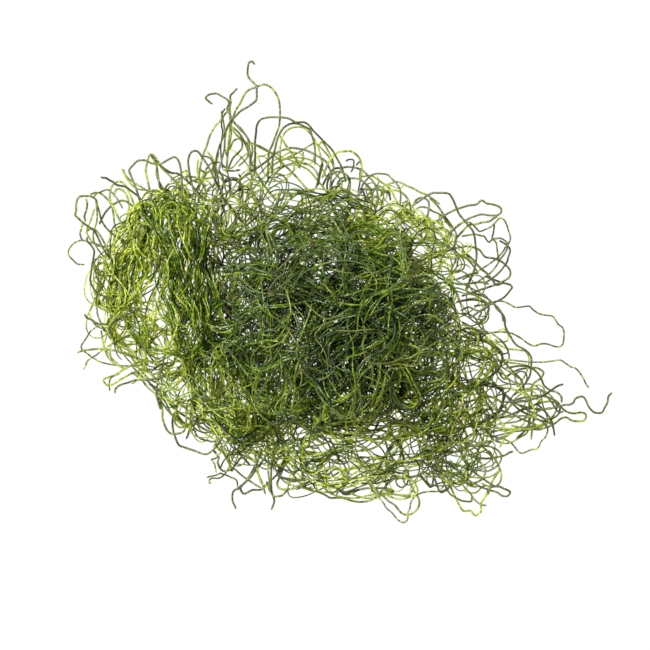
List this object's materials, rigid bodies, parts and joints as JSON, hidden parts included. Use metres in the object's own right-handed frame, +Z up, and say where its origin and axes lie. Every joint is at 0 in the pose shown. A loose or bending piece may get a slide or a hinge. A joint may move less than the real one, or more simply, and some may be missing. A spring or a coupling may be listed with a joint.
{
  "type": "spaghetti algae clump",
  "caption": "Loose springy clump of thin wiry green algae filaments, lying flat, with loops and tips straying out of its dense middle.",
  "frame": {"origin": "centre of the clump's box, on the surface that it lies on", "axes": "+Z up; +X along the clump's length, to the right in the picture; +Y up the page in the picture, which looks straight down"},
  "size_m": [0.131, 0.1109, 0.0403],
  "materials": {
    "tangle_filaments": "wet, satin, translucent green",
    "stray_filaments": "wet, satin, translucent yellow-green with darker cells"
  },
  "bodies": {
    "root": {"tangle": "tangle_filaments", "bean_loop": "stray_filaments", "big_left_loop": "stray_filaments", "big_right_loop": "stray_filaments", "bottom_crown_loop": "stray_filaments", "bottom_line": "stray_filaments", "bottom_right_wave": "stray_filaments", "crown_loop": "stray_filaments", "curl_down": "stray_filaments", "dark_arch": "stray_filaments", "dark_bottom_loop": "stray_filaments", "dark_whisker": "stray_filaments", "far_left_curl": "stray_filaments", "green_bottom_loop": "stray_filaments", "left_bow": "stray_filaments", "left_crown_loop": "stray_filaments", "left_drop": "stray_filaments", "left_hook": "stray_filaments", "left_hoop": "stray_filaments", "left_kite": "stray_filaments", "left_paperclip": "stray_filaments", "left_slope": "stray_filaments", "left_tip": "stray_filaments", "left_whisker": "stray_filaments", "low_crown_loop": "stray_filaments", "low_hammock": "stray_filaments", "low_left_curl": "stray_filaments", "low_left_spike": "stray_filaments", "low_loop": "stray_filaments", "low_right_beak": "stray_filaments", "low_right_wave": "stray_filaments", "low_swoop": "stray_filaments", "lower_hook": "stray_filaments", "right_barb": "stray_filaments", "right_bend": "stray_filaments", "right_crook": "stray_filaments", "right_crown_loop": "stray_filaments", "right_drop": "stray_filaments", "right_frill": "stray_filaments", "right_hairpin": "stray_filaments", "right_zigzag": "stray_filaments", "ring_strand": "stray_filaments", "second_arch": "stray_filaments", "shoulder_strand": "stray_filaments", "small_whisker": "stray_filaments", "sweeping_strand": "stray_filaments", "tall_arch": "stray_filaments", "top_crown_loop": "stray_filaments", "top_hook": "stray_filaments", "upper_left_peak": "stray_filaments", "upper_left_wave": "stray_filaments", "upper_notch": "stray_filaments", "upper_right_loop": "stray_filaments", "wavy_tail": "stray_filaments"}
  },
  "joints": []
}
